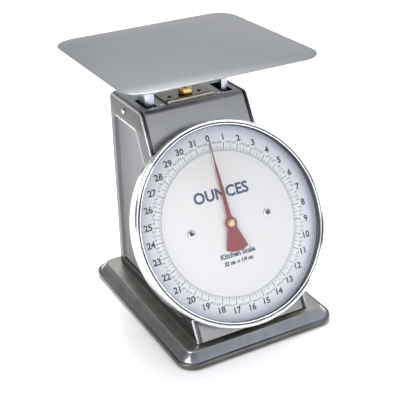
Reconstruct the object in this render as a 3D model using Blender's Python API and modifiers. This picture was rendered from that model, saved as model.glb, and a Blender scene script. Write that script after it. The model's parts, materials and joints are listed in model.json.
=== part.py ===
"""Mechanical dial platform scale: 222 x 209 mm platform, 209 mm dial window, 32 oz by 1/4 oz.

The frame: +Z up, -Y towards the reader, origin on the bench under the centre of the footprint.
A load pushes the platform and its carriage straight down against two springs. A rack on the
carriage turns the pinion of the pointer, one full turn for the full travel.
All sizes are in metres.
"""
import math

import bmesh
import bpy
from mathutils import Matrix, Vector

# ---- driving dimensions -------------------------------------------------------------------
GAP = 0.0003                    # clearance between pieces that touch
SHEET = 0.001                   # casing sheet

PLATFORM_X = 0.222
PLATFORM_Y = 0.209
PLATFORM_TOP = 0.2895
PLATFORM_THICK = 0.0015
PLATFORM_CORNER = 0.026
PLATFORM_CENTRE_Y = 0.0264

TILT = math.radians(28.3)       # the dial and the front lean back by this much
TAN_TILT = math.tan(TILT)
DIAL_CENTRE = Vector((0.0, -0.064, 0.1203))
FACE_BEHIND_DIAL = 0.00645      # dial surface to the casing's front face

COLUMN_TOP = 0.236
COLUMN_BOTTOM = 0.0168
COLUMN_HALF_TOP = 0.0645
COLUMN_HALF_BOTTOM = 0.0685
COLUMN_FRONT_TOP_Y = 0.0056
COLUMN_REAR_Y = 0.0876
COLUMN_FRONT_BOTTOM_Y = COLUMN_FRONT_TOP_Y - (COLUMN_TOP - COLUMN_BOTTOM) * TAN_TILT
PANEL_ROLL = 0.0016             # radius rolled on the edge of a side panel
PANEL_FLANGE = 0.0042           # how far a side panel turns in over the front and top
TOP_FRONT_RADIUS = 0.007

BASE_HALF_X = 0.0948
BASE_FRONT_Y = -0.1309
BASE_REAR_Y = 0.1155
BASE_CORNER = 0.021
BASE_SHEET = 0.0012
# steps of the pressed base from the rim up to the plateau: (inset, height)
BASE_STEPS = ((0.0, 0.001), (0.0, 0.0056), (0.0006, 0.0070), (0.0020, 0.0077),
              (0.0034, 0.0077), (0.0048, 0.0088), (0.0109, 0.0157), (0.0128, 0.0165))
FOOT_RADIUS = 0.009
FOOT_X = 0.068
FOOT_FRONT_Y = -0.106
FOOT_REAR_Y = 0.090

BEZEL_RADIUS = 0.1110
BEZEL_BACK = -0.0061
BEZEL_FRONT = 0.0122
WINDOW_RADIUS = 0.1046
CAN_RADIUS = 0.1079
GASKET_RADIUS = 0.1065
LENS_RADIUS = 0.1073
CAN_FRONT = 0.0085
DIAL_RADIUS = 0.1060
DIAL_THICK = 0.0008
DIAL_SCREW_X = 0.0463
DIAL_STEPS = 48

POST_OUTER_X = 0.050
POST_FLANGE = 0.009
POST_FRONT_Y = 0.020
POST_REAR_Y = 0.042
POST_SHEET = 0.0012
POST_TOP = 0.2844
CARRIAGE_BOTTOM = 0.1264

SPRING_Y = 0.036                # line of the springs and of the stop between them
NUT_Y = 0.0275                  # the zero nut stands on the front part of the hanger
NUT_RADIUS = 0.0086
NUT_HEIGHT = 0.0066
SPRING_X = 0.020
SPRING_RADIUS = 0.005
SPRING_WIRE = 0.0014
SPRING_TURNS = 8
SPRING_TOP = 0.2054
SPRING_BOTTOM = 0.1330

GEAR_MODULE = 0.0003
PINION_TEETH = 10
PITCH_RADIUS = GEAR_MODULE * PINION_TEETH / 2
TRAVEL = 2 * math.pi * PITCH_RADIUS / math.cos(TILT)

LINK_REAR_Y = 0.080
LINK_FRONT_Y = 0.026
LINK_LENGTH = LINK_REAR_Y - LINK_FRONT_Y
LINK_TILT = math.asin(TRAVEL / 2 / LINK_LENGTH)
LINK_HEIGHTS = {"upper": 0.190, "lower": 0.150}

BRUSHED = ("brushed_steel", (0.60, 0.60, 0.62), 0.35, 1.0)
BRIGHT = ("zinc_plate", (0.74, 0.76, 0.80), 0.30, 1.0)
CHROME = ("chrome_plate", (0.85, 0.85, 0.86), 0.08, 1.0)
BRASS = ("brass_metal", (0.72, 0.55, 0.26), 0.30, 1.0)
RUBBER = ("black_rubber", (0.03, 0.03, 0.03), 0.80, 0.0)
WHITE = ("dial_enamel", (0.90, 0.91, 0.93), 0.45, 0.0)
RED = ("pointer_red", (0.42, 0.09, 0.11), 0.45, 0.0)
GLASS = ("clear_lens", (0.90, 0.93, 0.95), 0.05, 0.0)
SPRING = ("spring_steel", (0.35, 0.35, 0.37), 0.35, 1.0)


# ---- helpers ------------------------------------------------------------------------------
def clear_scene():
    for old in list(bpy.data.objects):
        bpy.data.objects.remove(old, do_unlink=True)


def new_collection(name):
    group = bpy.data.collections.new(name)
    bpy.context.scene.collection.children.link(group)
    return group


def finish_material(finish):
    """The Principled material of one finish: (name, colour, roughness, metallic)."""
    name, colour, roughness, metallic = finish
    material = bpy.data.materials.get(name)
    if material:
        return material
    material = bpy.data.materials.new(name)
    material.use_nodes = True
    shader = material.node_tree.nodes["Principled BSDF"]
    shader.inputs["Base Color"].default_value = (*colour, 1.0)
    shader.inputs["Roughness"].default_value = roughness
    shader.inputs["Metallic"].default_value = metallic
    return material


def add_object(name, data, finish, parent=None, location=(0, 0, 0), group=None):
    piece = bpy.data.objects.new(name, data)
    (group or PARTS).objects.link(piece)
    data.materials.append(finish_material(finish))
    piece.location = location
    piece.parent = parent
    return piece


def mesh_from(name, build):
    """A mesh made by build(bm) in a fresh bmesh."""
    bm = bmesh.new()
    build(bm)
    bmesh.ops.recalc_face_normals(bm, faces=bm.faces)
    mesh = bpy.data.meshes.new(name)
    bm.to_mesh(mesh)
    bm.free()
    return mesh


def block(name, low, high, finish, parent=None, bevel=0.0, group=None):
    """A box between two corners, with its edges rounded by bevel."""
    low, high = Vector(low), Vector(high)

    def build(bm):
        bmesh.ops.create_cube(bm, size=1.0)
        bmesh.ops.scale(bm, vec=high - low, verts=bm.verts)

    piece = add_object(name, mesh_from(name, build), finish, parent, (low + high) / 2, group)
    if bevel:
        round_edges(piece, bevel)
    return piece


def round_edges(piece, width, segments=1):
    bevel = piece.modifiers.new("rounded edges", "BEVEL")
    bevel.width = width
    bevel.segments = segments


def turned(name, profile, finish, parent=None, location=(0, 0, 0), steps=16, closed=False, group=None):
    """A turned piece: profile is (radius, height), down the outer side; closed for a ring."""
    mesh = bpy.data.meshes.new(name)
    count = len(profile)
    edges = [(i, i + 1) for i in range(count - 1)]
    if closed:
        edges.append((count - 1, 0))
    mesh.from_pydata([(radius, 0, height) for radius, height in profile], edges, [])
    piece = add_object(name, mesh, finish, parent, location, group)
    screw = piece.modifiers.new("turned", "SCREW")
    screw.steps = steps
    screw.render_steps = steps
    screw.use_merge_vertices = True
    screw.merge_threshold = 0.00001
    screw.use_smooth_shade = True
    return piece


def disc(name, radius, low, high, finish, parent=None, location=(0, 0, 0), steps=16, group=None):
    """A plain cylinder along its own Z axis."""
    profile = ((0, high), (radius, high), (radius, low), (0, low))
    return turned(name, profile, finish, parent, location, steps, group=group)


def ring(name, inner, outer, low, high, finish, parent=None, location=(0, 0, 0), steps=16):
    profile = ((outer, high), (outer, low), (inner, low), (inner, high))
    return turned(name, profile, finish, parent, location, steps, closed=True)


def circle_points(radius, count, centre=(0.0, 0.0)):
    turn = 2 * math.pi / count
    return [(centre[0] + radius * math.cos(i * turn), centre[1] + radius * math.sin(i * turn))
            for i in range(count)]


def flat_plate(name, outlines, low, high, finish, parent=None, location=(0, 0, 0), group=None):
    """A plate along its own Z: the first outline is its edge and the others are holes."""
    curve = bpy.data.curves.new(name, "CURVE")
    curve.dimensions = "2D"
    curve.fill_mode = "BOTH"
    curve.extrude = (high - low) / 2
    for outline in outlines:
        spline = curve.splines.new("POLY")
        spline.points.add(len(outline) - 1)
        for point, (x, y) in zip(spline.points, outline):
            point.co = (x, y, 0, 1)
        spline.use_cyclic_u = True
    middle = Vector(location) + Vector((0, 0, (low + high) / 2))
    return add_object(name, curve, finish, parent, middle, group)


def as_mesh(piece):
    """Turns a curve into a welded mesh object of the same name, so that it can be cut."""
    bpy.context.view_layer.update()
    evaluated = piece.evaluated_get(bpy.context.evaluated_depsgraph_get())
    mesh = bpy.data.meshes.new_from_object(evaluated)
    bm = bmesh.new()
    bm.from_mesh(mesh)
    bmesh.ops.remove_doubles(bm, verts=bm.verts, dist=0.000001)
    bm.to_mesh(mesh)
    bm.free()
    name, group, place, parent = piece.name, piece.users_collection[0], piece.matrix_world.copy(), piece.parent
    bpy.data.objects.remove(piece, do_unlink=True)
    solid = bpy.data.objects.new(name, mesh)
    group.objects.link(solid)
    solid.parent = parent
    solid.matrix_world = place
    return solid


def combine(piece, tool, operation="DIFFERENCE"):
    tool.hide_render = True
    tool.display_type = "WIRE"
    boolean = piece.modifiers.new(operation.lower(), "BOOLEAN")
    boolean.operation = operation
    boolean.solver = "EXACT"
    boolean.object = tool


def drill(piece, centre, axis, radius, length=0.006, steps=12):
    """Cuts a round hole of this radius through piece at centre, along axis."""
    tool = disc(piece.name + "_drill", radius, -length / 2, length / 2, BRUSHED, steps=steps, group=CUTTERS)
    tool.location = centre
    tool.rotation_euler = Vector(axis).to_track_quat("Z", "Y").to_euler()
    combine(piece, tool)


def fillet(corners, radii, segments=4):
    """A closed outline whose corners are replaced by arcs of the given radii."""
    outline = []
    for i, corner in enumerate(corners):
        here = Vector(corner)
        back = (Vector(corners[i - 1]) - here).normalized()
        ahead = (Vector(corners[(i + 1) % len(corners)]) - here).normalized()
        half = back.angle(ahead) / 2
        centre = here + (back + ahead).normalized() * radii[i] / math.sin(half)
        start = here + back * radii[i] / math.tan(half) - centre
        end = here + ahead * radii[i] / math.tan(half) - centre
        sweep = start.angle_signed(end) if radii[i] else 0.0
        for step in range(segments + 1):
            turn = Matrix.Rotation(-sweep * step / segments, 2)
            outline.append(tuple(centre + turn @ start) if radii[i] else tuple(here))
    return outline


def inset_corners(corners, distances):
    """Moves each edge i (corner i to i + 1) of a counter-clockwise outline inwards."""
    lines = []
    for i, corner in enumerate(corners):
        here, after = Vector(corner), Vector(corners[(i + 1) % len(corners)])
        along = (after - here).normalized()
        inward = Vector((-along.y, along.x))
        lines.append((here + inward * distances[i], along))
    moved = []
    for i in range(len(corners)):
        (p, u), (q, w) = lines[i - 1], lines[i]
        cross = u.x * w.y - u.y * w.x
        reach = ((q.x - p.x) * w.y - (q.y - p.y) * w.x) / cross
        moved.append(tuple(p + u * reach))
    return moved


def rectangle(x_low, x_high, y_low, y_high):
    return [(x_low, y_low), (x_high, y_low), (x_high, y_high), (x_low, y_high)]


def lofted_sheet(name, loops, finish, thickness, parent=None):
    """A sheet through loops of equal length, closed over the last loop, then thickened."""
    def build(bm):
        rows = [[bm.verts.new(point) for point in loop] for loop in loops]
        count = len(rows[0])
        for lower, upper in zip(rows, rows[1:]):
            for i in range(count):
                j = (i + 1) % count
                bm.faces.new((lower[i], lower[j], upper[j], upper[i]))
        bm.faces.new(rows[-1])

    piece = add_object(name, mesh_from(name, build), finish, parent)
    thicken(piece, thickness)
    return piece


def thicken(piece, thickness):
    solid = piece.modifiers.new("sheet", "SOLIDIFY")
    solid.thickness = thickness
    solid.offset = -1
    solid.use_even_offset = True


def flare(mesh):
    """Widens a casing mesh towards the bottom, as the column does."""
    for vertex in mesh.vertices:
        fall = (COLUMN_TOP - vertex.co.z) / (COLUMN_TOP - COLUMN_BOTTOM)
        half = COLUMN_HALF_TOP + (COLUMN_HALF_BOTTOM - COLUMN_HALF_TOP) * fall
        vertex.co.x *= half / COLUMN_HALF_TOP


def column_half(height):
    fall = (COLUMN_TOP - height) / (COLUMN_TOP - COLUMN_BOTTOM)
    return COLUMN_HALF_TOP + (COLUMN_HALF_BOTTOM - COLUMN_HALF_TOP) * fall


def frame_empty(name, location, rotation=(0, 0, 0)):
    empty = bpy.data.objects.new(name, None)
    PARTS.objects.link(empty)
    empty.location = location
    empty.rotation_euler = rotation
    return empty


def fan_head_screw(name, head_radius, head_height, shank_radius, shank_length, finish, location,
                   rotation=(0, 0, 0), parent=None):
    """A domed screw along its own Z, with the head's underside at its origin."""
    profile = ((0, head_height), (head_radius * 0.6, head_height * 0.85), (head_radius, head_height * 0.25),
               (head_radius, 0), (shank_radius, 0), (shank_radius, -shank_length), (0, -shank_length))
    screw = turned(name, profile, finish, parent, location, steps=12)
    screw.rotation_euler = rotation
    return screw


# ---- base ---------------------------------------------------------------------------------
def make_base():
    corners = rectangle(-BASE_HALF_X, BASE_HALF_X, BASE_FRONT_Y, BASE_REAR_Y)
    loops = []
    for inset, height in BASE_STEPS:
        outline = fillet(inset_corners(corners, [inset] * 4), [BASE_CORNER - inset] * 4)
        loops.append([(x, y, height) for x, y in outline])
    lofted_sheet("base_pan", loops, BRUSHED, BASE_SHEET)
    top = BASE_STEPS[-1][1] - BASE_SHEET - GAP
    profile = ((0, top), (FOOT_RADIUS * 0.8, top), (FOOT_RADIUS, 0.0015), (FOOT_RADIUS * 0.92, 0), (0, 0))
    for side, x in (("left", -FOOT_X), ("right", FOOT_X)):
        for end, y in (("front", FOOT_FRONT_Y), ("rear", FOOT_REAR_Y)):
            turned(f"foot_{end}_{side}", profile, RUBBER, location=(x, y, 0), steps=14)


# ---- column casing ------------------------------------------------------------------------
def panel_corners():
    """The side of the column in (y, z), counter-clockwise from the bottom front."""
    return [(COLUMN_FRONT_BOTTOM_Y, COLUMN_BOTTOM), (COLUMN_REAR_Y, COLUMN_BOTTOM),
            (COLUMN_REAR_Y, COLUMN_TOP), (COLUMN_FRONT_TOP_Y, COLUMN_TOP)]


SIDE_SCREW = (0.049, 0.2255)    # (y, z) of the screw at the top of each side panel
EMBOSS_INSETS = (0.0115, 0.010, 0.023, 0.0229)   # from the bottom, rear, top and front edges
EMBOSS_SLOPE = 0.0035
EMBOSS_DEPTH = 0.0025


def make_side_panel(side, sign):
    corners = panel_corners()
    arc = PANEL_ROLL * (1 - math.sin(math.radians(45)))
    rows = [(0, PANEL_FLANGE), (0, PANEL_ROLL), (arc, arc), (PANEL_ROLL, 0)]
    radii = (0.001, 0.005, 0.006, TOP_FRONT_RADIUS)
    loops = []
    for inset, depth in rows:
        outline = fillet(inset_corners(corners, [inset] * 4), [max(r - inset, 0.0004) for r in radii])
        loops.append([(sign * (COLUMN_HALF_TOP - depth), y, z) for y, z in outline])
    for inset, depth, radius in ((0, 0, 0.006), (EMBOSS_SLOPE, EMBOSS_DEPTH, 0.003)):
        outline = fillet(inset_corners(corners, [edge + inset for edge in EMBOSS_INSETS]), [radius] * 4)
        loops.append([(sign * (COLUMN_HALF_TOP - depth), y, z) for y, z in outline])
    panel = lofted_sheet(f"side_panel_{side}", loops, BRUSHED, SHEET)
    flare(panel.data)
    y, z = SIDE_SCREW
    drill(panel, (sign * column_half(z), y, z), (1, 0, 0), 0.0020)
    fan_head_screw(f"side_screw_{side}", 0.0034, 0.0018, 0.0015, 0.004, BRIGHT,
                   (sign * (column_half(z) + GAP), y, z), (0, sign * math.radians(90), 0))


def make_front_cover():
    """One sheet bent over the top front edge: the sloping front and the top of the column."""
    half = COLUMN_HALF_TOP - PANEL_FLANGE - GAP
    top = [(COLUMN_REAR_Y - 0.0015, COLUMN_TOP), (COLUMN_FRONT_TOP_Y, COLUMN_TOP)]
    lift = 0.001
    bottom = (COLUMN_FRONT_BOTTOM_Y + lift * TAN_TILT, COLUMN_BOTTOM + lift)
    bent = fillet([top[0], top[1], bottom], [0, TOP_FRONT_RADIUS, 0])
    segments = len(bent) // 3
    path = [bent[0]] + bent[segments:2 * segments] + [bent[-1]]

    def build(bm):
        rows = [[bm.verts.new((x, y, z)) for y, z in path] for x in (-half, half)]
        for i in range(len(path) - 1):
            bm.faces.new((rows[0][i], rows[0][i + 1], rows[1][i + 1], rows[1][i]))
        bmesh.ops.recalc_face_normals(bm, faces=bm.faces)

    cover = add_object("front_cover", mesh_from("front_cover", build), BRUSHED)
    if cover.data.polygons[0].normal.z < 0:
        cover.data.flip_normals()
    flare(cover.data)
    thicken(cover, SHEET)
    for sign in (-1, 1):
        edges = sorted((sign * 0.0395, sign * 0.0530))
        opening = block(f"post_opening_{sign}", (edges[0], 0.0145, COLUMN_TOP - 0.005),
                        (edges[1], 0.0460, COLUMN_TOP + 0.005), BRUSHED, group=CUTTERS)
        combine(cover, opening)
    drill(cover, (0, NUT_Y, COLUMN_TOP), (0, 0, 1), 0.0032)
    normal = Vector((0, -math.cos(TILT), math.sin(TILT)))
    drill(cover, DIAL_CENTRE - normal * (FACE_BEHIND_DIAL + SHEET / 2), normal, 0.008, steps=16)


def make_rear_cover():
    """A flat sheet over the rear flanges of the side panels, held by four screws."""
    low, high = COLUMN_BOTTOM + 0.004, COLUMN_TOP - 0.0008
    wide, narrow = column_half(low) - 0.0035, column_half(high) - 0.0035
    corners = [(-wide, low), (wide, low), (narrow, high), (-narrow, high)]
    screws = [(sign * (column_half(z) - 0.009), z) for sign in (-1, 1) for z in (low + 0.012, high - 0.012)]
    outlines = [fillet(corners, [0.004] * 4, 3)] + [circle_points(0.0019, 10, at) for at in screws]
    cover = flat_plate("rear_cover", outlines, 0, SHEET, BRUSHED)
    cover.rotation_euler = (math.radians(90), 0, 0)
    cover.location = (0, COLUMN_REAR_Y + GAP + SHEET / 2, 0)
    back = COLUMN_REAR_Y + GAP + SHEET + GAP
    for number, (x, z) in enumerate(screws, 1):
        fan_head_screw(f"rear_screw_{number}", 0.0030, 0.0016, 0.0015, SHEET, BRIGHT, (x, back, z),
                       (math.radians(-90), 0, 0))


# ---- top fittings -------------------------------------------------------------------------
PAD_HALF_X = 0.0280
PAD_FRONT_Y = 0.0135
PAD_REAR_Y = 0.0600
PAD_SCREW_Y = 0.030
WASHER_RADIUS = 0.0080
PAD_TOP = COLUMN_TOP + GAP + 0.0015


def make_top_pad():
    """The plate that carries the zero nut, with a stiffening rib rolled along its front."""
    rib_y, rib_radius = PAD_FRONT_Y + 0.0032, 0.0026
    rib = [(rib_y + rib_radius * math.cos(a), PAD_TOP + rib_radius * 0.9 * math.sin(a))
           for a in (math.pi * i / 6 for i in range(7))]
    low = COLUMN_TOP + GAP
    outline = [(PAD_FRONT_Y, low), (PAD_REAR_Y, low), (PAD_REAR_Y, PAD_TOP)] + rib + [(PAD_FRONT_Y, PAD_TOP)]
    pad = flat_plate("top_pad", [outline], -PAD_HALF_X, PAD_HALF_X, BRUSHED)
    pad.matrix_world = Matrix(((0, 0, 1, 0), (1, 0, 0, 0), (0, 1, 0, 0), (0, 0, 0, 1)))
    pad = as_mesh(pad)
    drill(pad, (0, NUT_Y, PAD_TOP), (0, 0, 1), 0.0032)
    for number, x in enumerate((-0.018, 0.018), 1):
        drill(pad, (x, PAD_SCREW_Y, PAD_TOP), (0, 0, 1), 0.0016)
        fan_head_screw(f"pad_screw_{number}", 0.0022, 0.0008, 0.0012, 0.0015, SPRING,
                       (x, PAD_SCREW_Y, PAD_TOP + GAP))
    for number, x in enumerate((-0.0345, 0.0345), 1):
        fan_head_screw(f"top_rivet_{number}", 0.0021, 0.0017, 0.0021, 0.0001, BRIGHT,
                       (x, PAD_FRONT_Y + 0.002, COLUMN_TOP + GAP + 0.0001))


def make_zero_adjuster():
    top = PAD_TOP + GAP
    ring("zero_washer", 0.0030, WASHER_RADIUS, top, top + 0.001, SPRING, location=(0, NUT_Y, 0), steps=20)
    seat = top + 0.001 + GAP
    nut_empty = frame_empty("zero_nut_axis", (0, NUT_Y, seat))
    hexagon = circle_points(NUT_RADIUS, 6)
    flat_plate("zero_nut", [hexagon, circle_points(0.0026, 12)], 0, NUT_HEIGHT, BRASS, nut_empty)
    hanger_top = SPRING_TOP + GAP + 0.004
    disc("zero_screw", 0.0020, hanger_top + GAP, seat + NUT_HEIGHT + 0.0004, SPRING, location=(0, NUT_Y, 0), steps=12)
    block("spring_hanger", (-0.027, NUT_Y - 0.003, SPRING_TOP + GAP),
          (0.027, SPRING_Y + 0.003, hanger_top), BRIGHT, bevel=0.0008)


# ---- carriage and platform ----------------------------------------------------------------
def make_post(side, sign):
    """A folded upright: a web facing the side of the column and a flange facing the front."""
    web, flange = POST_OUTER_X, POST_OUTER_X - POST_FLANGE
    outer = fillet([(flange, POST_FRONT_Y), (web, POST_FRONT_Y), (web, POST_REAR_Y)], [0, 0.0045, 0])
    inner = fillet([(flange, POST_FRONT_Y + POST_SHEET), (web - POST_SHEET, POST_FRONT_Y + POST_SHEET),
                    (web - POST_SHEET, POST_REAR_Y)], [0, 0.0033, 0])
    step = len(outer) // 3
    outline = [outer[0]] + outer[step:2 * step] + [outer[-1], inner[-1]]
    outline += list(reversed(inner[step:2 * step])) + [inner[0]]
    outline = [(sign * x, y) for x, y in outline]
    flat_plate(f"post_{side}", [outline], CARRIAGE_BOTTOM, POST_TOP, BRIGHT, CARRIAGE)


def make_carriage():
    for side, sign in (("left", -1), ("right", 1)):
        make_post(side, sign)
    inside = POST_OUTER_X - POST_SHEET - GAP
    block("carriage_bar", (-inside, SPRING_Y - 0.006, CARRIAGE_BOTTOM),
          (inside, SPRING_Y + 0.006, CARRIAGE_BOTTOM + 0.006), BRIGHT, CARRIAGE, bevel=0.0008)
    block("platform_bracket", (-0.058, 0.006, POST_TOP + GAP),
          (0.058, 0.056, PLATFORM_TOP - PLATFORM_THICK - GAP), BRIGHT, CARRIAGE, bevel=0.0006)
    half_x, half_y = PLATFORM_X / 2, PLATFORM_Y / 2
    corners = rectangle(-half_x, half_x, PLATFORM_CENTRE_Y - half_y, PLATFORM_CENTRE_Y + half_y)
    flat_plate("platform", [fillet(corners, [PLATFORM_CORNER] * 4, 8)],
               PLATFORM_TOP - PLATFORM_THICK, PLATFORM_TOP, BRUSHED, CARRIAGE)
    for level, height in LINK_HEIGHTS.items():
        pin = disc(f"{level}_link_front_pin", 0.0015, -inside, inside, BRIGHT, CARRIAGE,
                   (0, LINK_FRONT_Y, height + TRAVEL / 2), steps=12)
        pin.rotation_euler = (0, math.radians(90), 0)


def make_links():
    """Two parallel straps that keep the carriage upright as it moves."""
    for level, height in LINK_HEIGHTS.items():
        pivot = frame_empty(f"{level}_link_axis", (0, LINK_REAR_Y, height), (-LINK_TILT, 0, 0))
        ear, arm, web = 0.0040, 0.0385, (-0.024, -0.014)
        outer = [(-arm, -LINK_LENGTH - ear), (-arm + 0.005, -LINK_LENGTH - ear), (-arm + 0.005, web[0]),
                 (arm - 0.005, web[0]), (arm - 0.005, -LINK_LENGTH - ear), (arm, -LINK_LENGTH - ear),
                 (arm, ear), (arm - 0.005, ear), (arm - 0.005, web[1]), (-arm + 0.005, web[1]),
                 (-arm + 0.005, ear), (-arm, ear)]
        strap = as_mesh(flat_plate(f"{level}_link", [outer], -0.003, 0.003, BRIGHT, pivot))
        for end in (0, -LINK_LENGTH):
            tool = disc(f"{level}_link_bore", 0.0021, -arm - 0.002, arm + 0.002, BRIGHT, pivot,
                        (0, end, 0), steps=12, group=CUTTERS)
            tool.rotation_euler = (0, math.radians(90), 0)
            combine(strap, tool)
        pin = disc(f"{level}_link_rear_pin", 0.0015, -0.0535, 0.0535, BRIGHT,
                   location=(0, LINK_REAR_Y, height), steps=12)
        pin.rotation_euler = (0, math.radians(90), 0)


def make_chassis():
    """Cheeks inside the column that carry the rear pins, a tie between them and a stop."""
    for side, sign in (("left", -1), ("right", 1)):
        edges = sorted((sign * 0.0538, sign * 0.0553))
        block(f"chassis_cheek_{side}", (edges[0], 0.050, COLUMN_BOTTOM),
              (edges[1], 0.085, COLUMN_TOP - SHEET - GAP), BRIGHT)
    block("chassis_tie", (-0.0535, 0.0836, 0.095), (0.0535, 0.0851, 0.110), BRIGHT)
    stop_top = CARRIAGE_BOTTOM - TRAVEL - 0.0006
    profile = ((0, stop_top), (0.004, stop_top), (0.0045, stop_top - 0.004), (0.003, stop_top - 0.004),
               (0.003, COLUMN_BOTTOM + 0.003), (0.0055, COLUMN_BOTTOM + 0.003), (0.0055, COLUMN_BOTTOM),
               (0, COLUMN_BOTTOM))
    turned("overload_stop", profile, SPRING, location=(0, SPRING_Y, 0), steps=12)


def make_springs():
    for side, x in (("left", -SPRING_X), ("right", SPRING_X)):
        curve = bpy.data.curves.new(f"spring_{side}", "CURVE")
        curve.dimensions = "3D"
        curve.bevel_depth = SPRING_WIRE / 2
        curve.bevel_resolution = 1
        curve.use_fill_caps = True
        spline = curve.splines.new("POLY")
        per_turn = 8
        count = SPRING_TURNS * per_turn
        spline.points.add(count)
        low, high = SPRING_BOTTOM + SPRING_WIRE / 2, SPRING_TOP - SPRING_WIRE / 2
        for i, point in enumerate(spline.points):
            angle = 2 * math.pi * i / per_turn
            height = low + (high - low) * i / count
            point.co = (SPRING_RADIUS * math.cos(angle), SPRING_RADIUS * math.sin(angle), height, 1)
        add_object(f"spring_{side}", curve, SPRING, location=(x, SPRING_Y, 0))


# ---- dial head (built in the dial's own frame: Z out of the dial, Y up its face) -----------
def make_dial_head():
    """The can, dial, lens and bezel, in the frame of the dial's front surface."""
    back = BEZEL_BACK
    can = ((CAN_RADIUS, CAN_FRONT), (CAN_RADIUS, back), (0.008, back), (0.008, back + SHEET),
           (CAN_RADIUS - SHEET, back + SHEET), (CAN_RADIUS - SHEET, CAN_FRONT))
    turned("dial_can", can, BRUSHED, DIAL, steps=DIAL_STEPS, closed=True)
    holes = [circle_points(0.0030, 12)]
    holes += [circle_points(0.0021, 12, (sign * DIAL_SCREW_X, 0)) for sign in (-1, 1)]
    flat_plate("dial_plate", [circle_points(DIAL_RADIUS, DIAL_STEPS)] + holes, -DIAL_THICK, 0, WHITE, DIAL)
    for side, x in (("left", -DIAL_SCREW_X), ("right", DIAL_SCREW_X)):
        profile = dial_pillar_profile(back + SHEET + GAP, -DIAL_THICK - GAP)
        turned(f"dial_pillar_{side}", profile, BRIGHT, DIAL, (x, 0, 0), steps=12)
        ring(f"dial_washer_{side}", 0.0021, 0.0047, GAP, GAP + 0.0004, BRIGHT, DIAL, (x, 0, 0), steps=20)
        fan_head_screw(f"dial_screw_{side}", 0.0027, 0.0016, 0.0015, 0.004, BRIGHT,
                       (x, 0, 2 * GAP + 0.0004), parent=DIAL)
    ring("lens_gasket", WINDOW_RADIUS - 0.0006, GASKET_RADIUS, CAN_FRONT - 0.0018, CAN_FRONT, RUBBER, DIAL,
         steps=DIAL_STEPS)
    disc("lens", LENS_RADIUS, CAN_FRONT + GAP, CAN_FRONT + 0.0018, GLASS, DIAL, steps=DIAL_STEPS)
    roll, lip = 0.0023, CAN_FRONT + 0.0021
    centre = (BEZEL_RADIUS - roll, BEZEL_FRONT - roll)
    crown = [(centre[0] + roll * math.cos(a), centre[1] + roll * math.sin(a))
             for a in (math.radians(50 * i) for i in range(3, -1, -1))]
    front = [(WINDOW_RADIUS, lip), (WINDOW_RADIUS + 0.0004, BEZEL_FRONT - 0.0006),
             (WINDOW_RADIUS + 0.0016, BEZEL_FRONT - 0.0006), (WINDOW_RADIUS + 0.0019, crown[0][1])]
    inner = [(BEZEL_RADIUS, BEZEL_BACK), (BEZEL_RADIUS - 0.0016, BEZEL_BACK),
             (BEZEL_RADIUS - 0.0012, CAN_FRONT - 0.001), (CAN_RADIUS + 0.0008, lip)]
    turned("bezel", front + crown + inner, CHROME, DIAL, steps=DIAL_STEPS, closed=True)


def dial_pillar_profile(floor, head):
    """A post with a blind bore for the dial screw, from the bottom of its bore round to its base."""
    return ((0, floor + 0.0006), (0.0020, floor + 0.0006), (0.0020, head), (0.0035, head),
            (0.0035, floor), (0, floor))


BUSH_FRONT = -0.00775           # front leg of the movement bracket, behind the casing's front
BUSH_REAR = -0.0260
LEG = 0.0015
BUSH_RADIUS = 0.0029


def make_movement():
    """The bracket that holds the pointer shaft in two bushings behind the front of the casing."""
    left, right = -0.014, 0.008
    outline = [(left, BUSH_REAR - LEG), (right, BUSH_REAR - LEG), (right, BUSH_REAR),
               (left + LEG, BUSH_REAR), (left + LEG, BUSH_FRONT - LEG), (right, BUSH_FRONT - LEG),
               (right, BUSH_FRONT), (left, BUSH_FRONT)]
    half_length = 0.010
    channel = flat_plate("movement_bracket", [outline], -half_length, half_length, BRIGHT, DIAL)
    channel.rotation_euler = (math.radians(90), 0, 0)
    channel.location = (0, -0.004, 0)
    bracket = as_mesh(channel)
    for name, top in (("front", BUSH_FRONT), ("rear", BUSH_REAR)):
        tool = disc(f"bush_{name}_bore", BUSH_RADIUS + 0.0003, top - 0.003, top + 0.002, BRIGHT, DIAL,
                    steps=16, group=CUTTERS)
        combine(bracket, tool)
        ring(f"bush_{name}", 0.00150, BUSH_RADIUS, top - LEG - 0.0006, top + 0.0006, BRASS, DIAL, steps=16)


def pinion_outline():
    """Ten straight-sided teeth, thinner than half the pitch so that they run free in the rack."""
    tip, root = PITCH_RADIUS + 0.8 * GEAR_MODULE, PITCH_RADIUS - 1.1 * GEAR_MODULE
    pitch = 2 * math.pi / PINION_TEETH
    outline = []
    for tooth in range(PINION_TEETH):
        middle = tooth * pitch
        for radius, offset in ((root, -0.30), (tip, -0.11), (tip, 0.11), (root, 0.30)):
            angle = middle + offset * pitch
            outline.append((radius * math.cos(angle), radius * math.sin(angle)))
    return outline


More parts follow.
